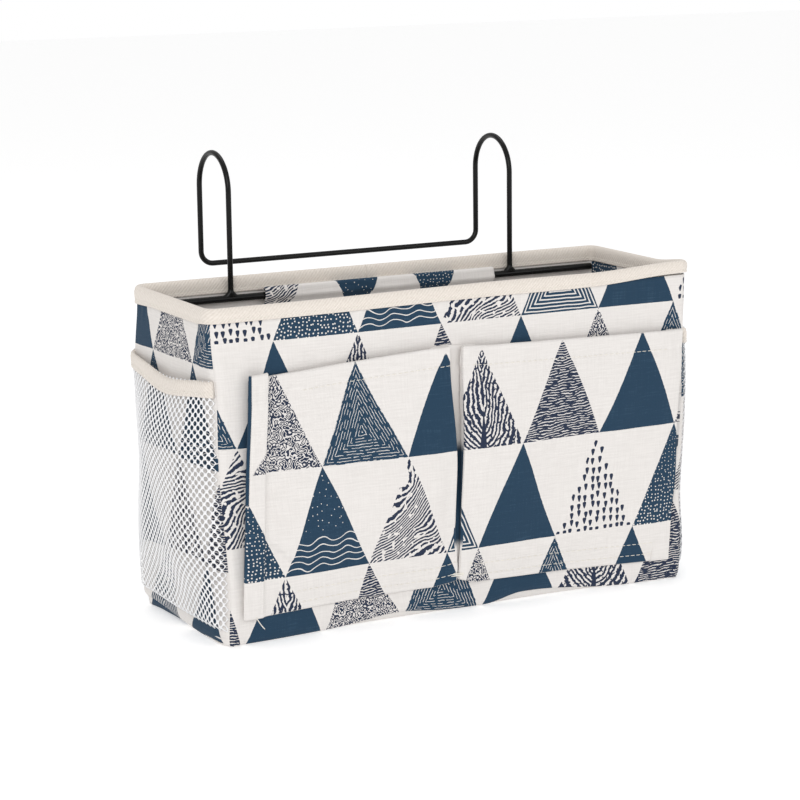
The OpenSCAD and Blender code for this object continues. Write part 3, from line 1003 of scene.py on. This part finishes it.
def net_surface(side, along, up):
    """A net's middle face, along from its front seam, up from its lower seam to its mouth.

    The right-hand net hangs the other way about: its ridge is near its back seam.
    """
    share = along if side < 0 else 1 - along
    x, y = (np.interp(share, NET_SHARE, NET_CURVE[:, k]) for k in range(2))
    full = NET_FULLNESS[side] * (0.06 + 0.94 * smooth(-0.04, 0.3, up) * smooth(1.12, 0.7, up))
    out = np.maximum(x - NET_CLOSE_X, 0)
    sag = 5.0 * np.sin(math.pi * np.clip(share, 0, 1)) ** 1.3
    z = NET_LOW[2] - 1.5 + (NET_HIGH[2] + 3.5 + 2.5 * share - NET_LOW[2] - sag) * up
    dive = 2.2 * smooth(0.02, 0, up)
    return soften(stacked(side * (x + out * (full - 1) - dive), -side * y, z))


def net_lengths(side):
    """A net's length along half its height, and its height at half its length."""
    t = np.linspace(0, 1, 200)
    return (distances(net_surface(side, t, np.full_like(t, 0.55)))[-1],
            distances(net_surface(side, np.full_like(t, 0.5), t))[-1])


def net_cells(columns, rows):
    """Points in half cells, 1 for each raised one, and faces of staggered diamonds with a round hole each."""
    index, points, raised, faces = {}, [], [], []
    diamond = [(1, 0), (0.5, 0.5), (0, 1), (-0.5, 0.5), (-1, 0), (-0.5, -0.5), (0, -1), (0.5, -0.5)]
    angles = [TAU * k / HOLE_SIDES for k in range(HOLE_SIDES)]

    def add_point(i, j, height):
        points.append((i, j))
        raised.append(height)
        return len(points) - 1

    def corner(i, j):
        key = (round(i * 1000), round(j * 1000))
        if key not in index:
            index[key] = add_point(i, j, 1.0)
        return index[key]

    for j in range(1, 2 * rows):
        for i in range(1 + (j + 1) % 2, 2 * columns, 2):
            outer = [corner(i + a, j + b) for a, b in diamond]
            inner = [add_point(i + 0.62 * math.cos(a), j + 0.63 * math.sin(a), 0.0) for a in angles]
            for k in range(HOLE_SIDES):
                q = (k + 1) % HOLE_SIDES
                faces.append((outer[k], outer[q], inner[q], inner[k]))
    return np.array(points, float), np.array(raised), faces


def thickened(faces, count):
    """Faces of a sheet and of its copy count points on, joined along every edge of a single face."""
    edges = {(a, b) for f in faces for a, b in zip(f, f[1:] + f[:1])}
    rim = [(a, b) for f in faces for a, b in zip(f, f[1:] + f[:1]) if (b, a) not in edges]
    back = [tuple(v + count for v in f[::-1]) for f in faces]
    return faces + back + [(b, a, a + count, b + count) for a, b in rim]


def outward(side, faces):
    """The faces turned the right way out for the net of one side, since the two are mirrored."""
    return [f[::-1] for f in faces] if side < 0 else faces


def add_net(side):
    name = SIDE_NAMES[side] + "_net_pocket"
    length, height = net_lengths(side)
    columns, rows = round(length / NET_PITCH_ALONG), round(height / NET_PITCH_UP)
    points, raised, faces = net_cells(columns, rows)
    along, up = points[:, 0] / (2 * columns), points[:, 1] / (2 * rows)
    step = 1e-3
    here = net_surface(side, along, up)
    to_side = net_surface(side, along + step, up) - here
    upward = net_surface(side, along, up + step) - here
    n = side * unit(np.cross(to_side, upward))
    puff = (raised * 0.16)[:, None]
    front = here + n * (NET_CORD / 2 + puff - 0.1)
    back = here - n * (NET_CORD / 2 + puff * 0.5 - 0.1)
    all_faces = outward(side, thickened(faces, len(points)))
    new_piece(name, np.concatenate([front, back]), all_faces, net_cord, folds=True)


def add_net_bands():
    """The tape round each net's mouth, and the stitches on both tapes."""
    t = np.linspace(0, 1, 90)
    edge = [(0.55, -0.6), (1.25, -0.35), (1.35, 0.9), (1.1, 1.8), (1.4, 3.5), (1.45, 6.3), (1.15, 8.2)]
    profile = np.array(edge + [(0, 9.2)] + [(-a, b) for a, b in edge[::-1]])
    stitches = []
    for side in (-1, 1):
        low, high = (net_surface(side, t, np.full_like(t, share)) for share in (BAND_SHARE, 1.0))
        out = unit(np.cross(np.gradient(high, axis=0), [0, 0, side]))
        up = unit(high - low)
        verts = low[:, None] + profile[:, :1] * out[:, None] + profile[:, 1:] * up[:, None]
        faces = outward(side, tube_faces(len(t), len(profile)))
        uv = stacked(distances(low)[:, None], distances(profile)).reshape(-1, 2)
        new_piece(SIDE_NAMES[side] + "_net_band", verts.reshape(-1, 3), faces, twill_tape, uv=uv, folds=True)
        stitches.append(stitch_row(low + out * 1.1 + up * 2.0, out))
    new_piece("net_band_stitching", *join(stitches), thread, folds=True)


add_net(-1)
add_net(1)
add_net_bands()


# ---------------- flap

FLAP_U = 121.9      # where the flap's middle and its seam are in the print
FLAP_V = 153.9
FLAP_T = 0.85
FLAP_ROWS = (3, 16)      # rows of stitches above the lower hem


def flap_grid(cols=90):
    """The flap's outer face, from its hem up over the bar to the seam, and each row's way to the seam."""
    low, high = FLAP_LOW, FLAP_HIGH
    back = high[1] - 0.3
    front = low[1]
    section = np.array([
        (back - 0.9, low[2]), (back - 0.95, low[2] + 8), (back - 1.0, low[2] + 16), (back - 1.6, low[2] + 20),
        (front + 2.0, BAR_Z - 4.2), (front + 0.3, BAR_Z - 1.6), (front, BAR_Z + 0.6),
        (front + 1.0, BAR_Z + 2.6), (BAR_Y - 0.4, BAR_Z + BAR_R + 1.15), (high[1] - 0.6, high[2] - 0.05)])
    line = spline(section, 44)
    rise = smooth(BAR_Z + 0.5, BAR_Z + 3.0, line[:, 1]) * smooth(high[1] - 0.4, high[1] - 2.6, line[:, 0])
    line[:, 1] += 2.2 * rise
    x = np.linspace(low[0] + 0.5, high[0] + 2.5, cols)
    y, z = line.T[..., None]
    slack = smooth(low[2] + 18, low[2] + 22, z) * smooth(BAR_Z + 2, BAR_Z - 1, z)
    at = distances(line)
    return stacked(x, y - slack * (0.35 + 0.35 * np.sin(x / 9.0 + np.sin(x / 17))), z), at - at[-1]


def add_flap():
    """The flap, with its transform baked into its mesh, and its stitches."""
    grid, to_seam = flap_grid()
    uv = stacked(FLAP_U - grid[..., 0], FLAP_V - FLAP_HIGH[2] - to_seam[:, None])
    verts, faces, all_uv = slab(grid, FLAP_T, uv)
    obj = new_piece("bar_flap", verts, faces, printed_canvas, None, all_uv, np.ones(len(verts)))
    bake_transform(obj)
    rows, cols = grid.shape[:2]
    lines = np.interp(FLAP_LOW[2] + np.array(FLAP_ROWS), grid[:, 0, 2], np.arange(rows))
    parts = [stitch_row(*grid_row(grid, line, 3, cols - 4, 120)) for line in lines]
    new_piece("flap_stitching", *join(parts), thread, "flap")


def add_tape(node, body):
    """A hook or loop tape: a thin sheet with soft edges and a shallow nap."""
    low, high = cad_box(node)
    x, z = (np.linspace(low[k] + 0.4, high[k] - 0.4, count) for k, count in ((0, 90), (2, 14)))
    z = z[:, None]
    nap = 0.05 * np.sin(x / 1.7) * np.sin(z / 1.3)
    verts, faces, uv = slab(stacked(x, low[1] + 0.12 + nap, z), high[1] - low[1] - 0.2, stacked(x, z))
    new_piece(node, verts, faces, hook_and_loop, body, uv)


add_flap()
add_tape("flap_hook_tape", "flap")
add_tape("flap_loop_tape", "bag")


# ---------------- hanger

def weld_bead(side, hook_x, rings=12, sides=28):
    """A flared neck at the foot of one front leg, with the faint lumps of a weld."""
    angles = np.arange(sides) * TAU / sides
    h = np.linspace(0, 1, rings)[:, None]
    flare = WIRE_R + 0.12 + 2.3 * (1 - h) ** 2.6
    radius = flare * (1 + 0.03 * np.sin(5 * angles + side) * (1 - h))
    x = hook_x + radius * np.cos(angles) * (1 + 0.45 * (1 - h) ** 2)
    y = BAR_Y + np.minimum(radius, BAR_R - 0.05) * np.sin(angles)
    z = BAR_Z + BAR_R * (0.62 + 0.38 * smooth(0, 0.4, h)) + 3.4 * h
    return stacked(x, y, z).reshape(-1, 3), [f[::-1] for f in tube_faces(rings, sides)]


beads = [weld_bead(-1, WIRE_LOW[0] + WIRE_R), weld_bead(1, WIRE_HIGH[0] - WIRE_R)]
new_piece("weld_beads", *join(beads), black_wire, "hanger")
for node in ("hook_wire", "crossbar"):
    shade_smooth(paint_node(node, black_wire))


# ---------------- stage, light and camera

FLOOR_REACH = 6.0      # metres, as everything in this section
FLOOR_Z = -0.0005
WORLD_LIGHT = 0.70


def add_floor():
    material, _, inputs = new_material("floor", 0.9)
    plug((0.80, 0.80, 0.80, 1), inputs["Base Color"])
    plug((1, 1, 1, 1), inputs["Emission Color"])
    plug(0.40, inputs["Emission Strength"])
    mesh = bpy.data.meshes.new("floor")
    corners = [(x * FLOOR_REACH, y * FLOOR_REACH, FLOOR_Z) for x, y in ((-1, -1), (1, -1), (1, 1), (-1, 1))]
    mesh.from_pydata(corners, [], [(0, 1, 2, 3)])
    mesh.materials.append(material)
    new_object("floor", mesh)


def add_light(name, place, size, watts, aim=(0, 0, 0.1)):
    light = bpy.data.lights.new(name, "AREA")
    light.shape = "DISK"
    light.size = size
    light.energy = watts
    obj = new_object(name, light)
    obj.location = place
    obj.rotation_euler = (Vector(aim) - Vector(place)).to_track_quat("-Z", "Y").to_euler()


def add_world():
    """Even white light, and a plain white background behind the floor."""
    world = bpy.data.worlds.new("studio")
    world.use_nodes = True
    tree = world.node_tree
    inputs = tree.nodes["Background"].inputs
    plug((1, 1, 1, 1), inputs["Color"])
    seen = Value(tree, add_node(tree, "LightPath", {}).outputs["Is Camera Ray"])
    plug(seen * (1 - WORLD_LIGHT) + WORLD_LIGHT, inputs["Strength"])
    bpy.context.scene.world = world


def add_camera():
    """The photograph's viewpoint: slightly above, from the front left, with a long lens."""
    azimuth, elevation, roll = (math.radians(a) for a in (-27.36, 11.28, -0.70))
    distance, right_shift, target_z = 1.5986, -0.01035, 0.12157
    level = Vector((math.sin(azimuth), -math.cos(azimuth), 0))
    back = level * math.cos(elevation) + Vector((0, 0, math.sin(elevation)))
    right = Vector((math.cos(azimuth), math.sin(azimuth), 0))
    up = back.cross(right)
    turned_right = right * math.cos(roll) + up * math.sin(roll)
    turned_up = up * math.cos(roll) - right * math.sin(roll)
    data = bpy.data.cameras.new("camera")
    data.lens = 115.6
    data.sensor_width = 36
    data.clip_start = 0.05
    camera = new_object("camera", data)
    place = right * right_shift + Vector((0, 0, target_z)) + back * distance
    basis = Matrix((turned_right, turned_up, back)).transposed().to_4x4()
    camera.matrix_world = Matrix.Translation(place) @ basis
    bpy.context.scene.camera = camera


add_floor()
add_world()
add_light("key", (-1.3, -1.75, 1.2), 1.4, 16)
add_light("fill", (1.2, -1.8, 0.7), 1.2, 5)
add_light("top", (0.1, 0.5, 1.9), 1.2, 5)
add_camera()
bpy.context.scene.view_settings.view_transform = "Standard"
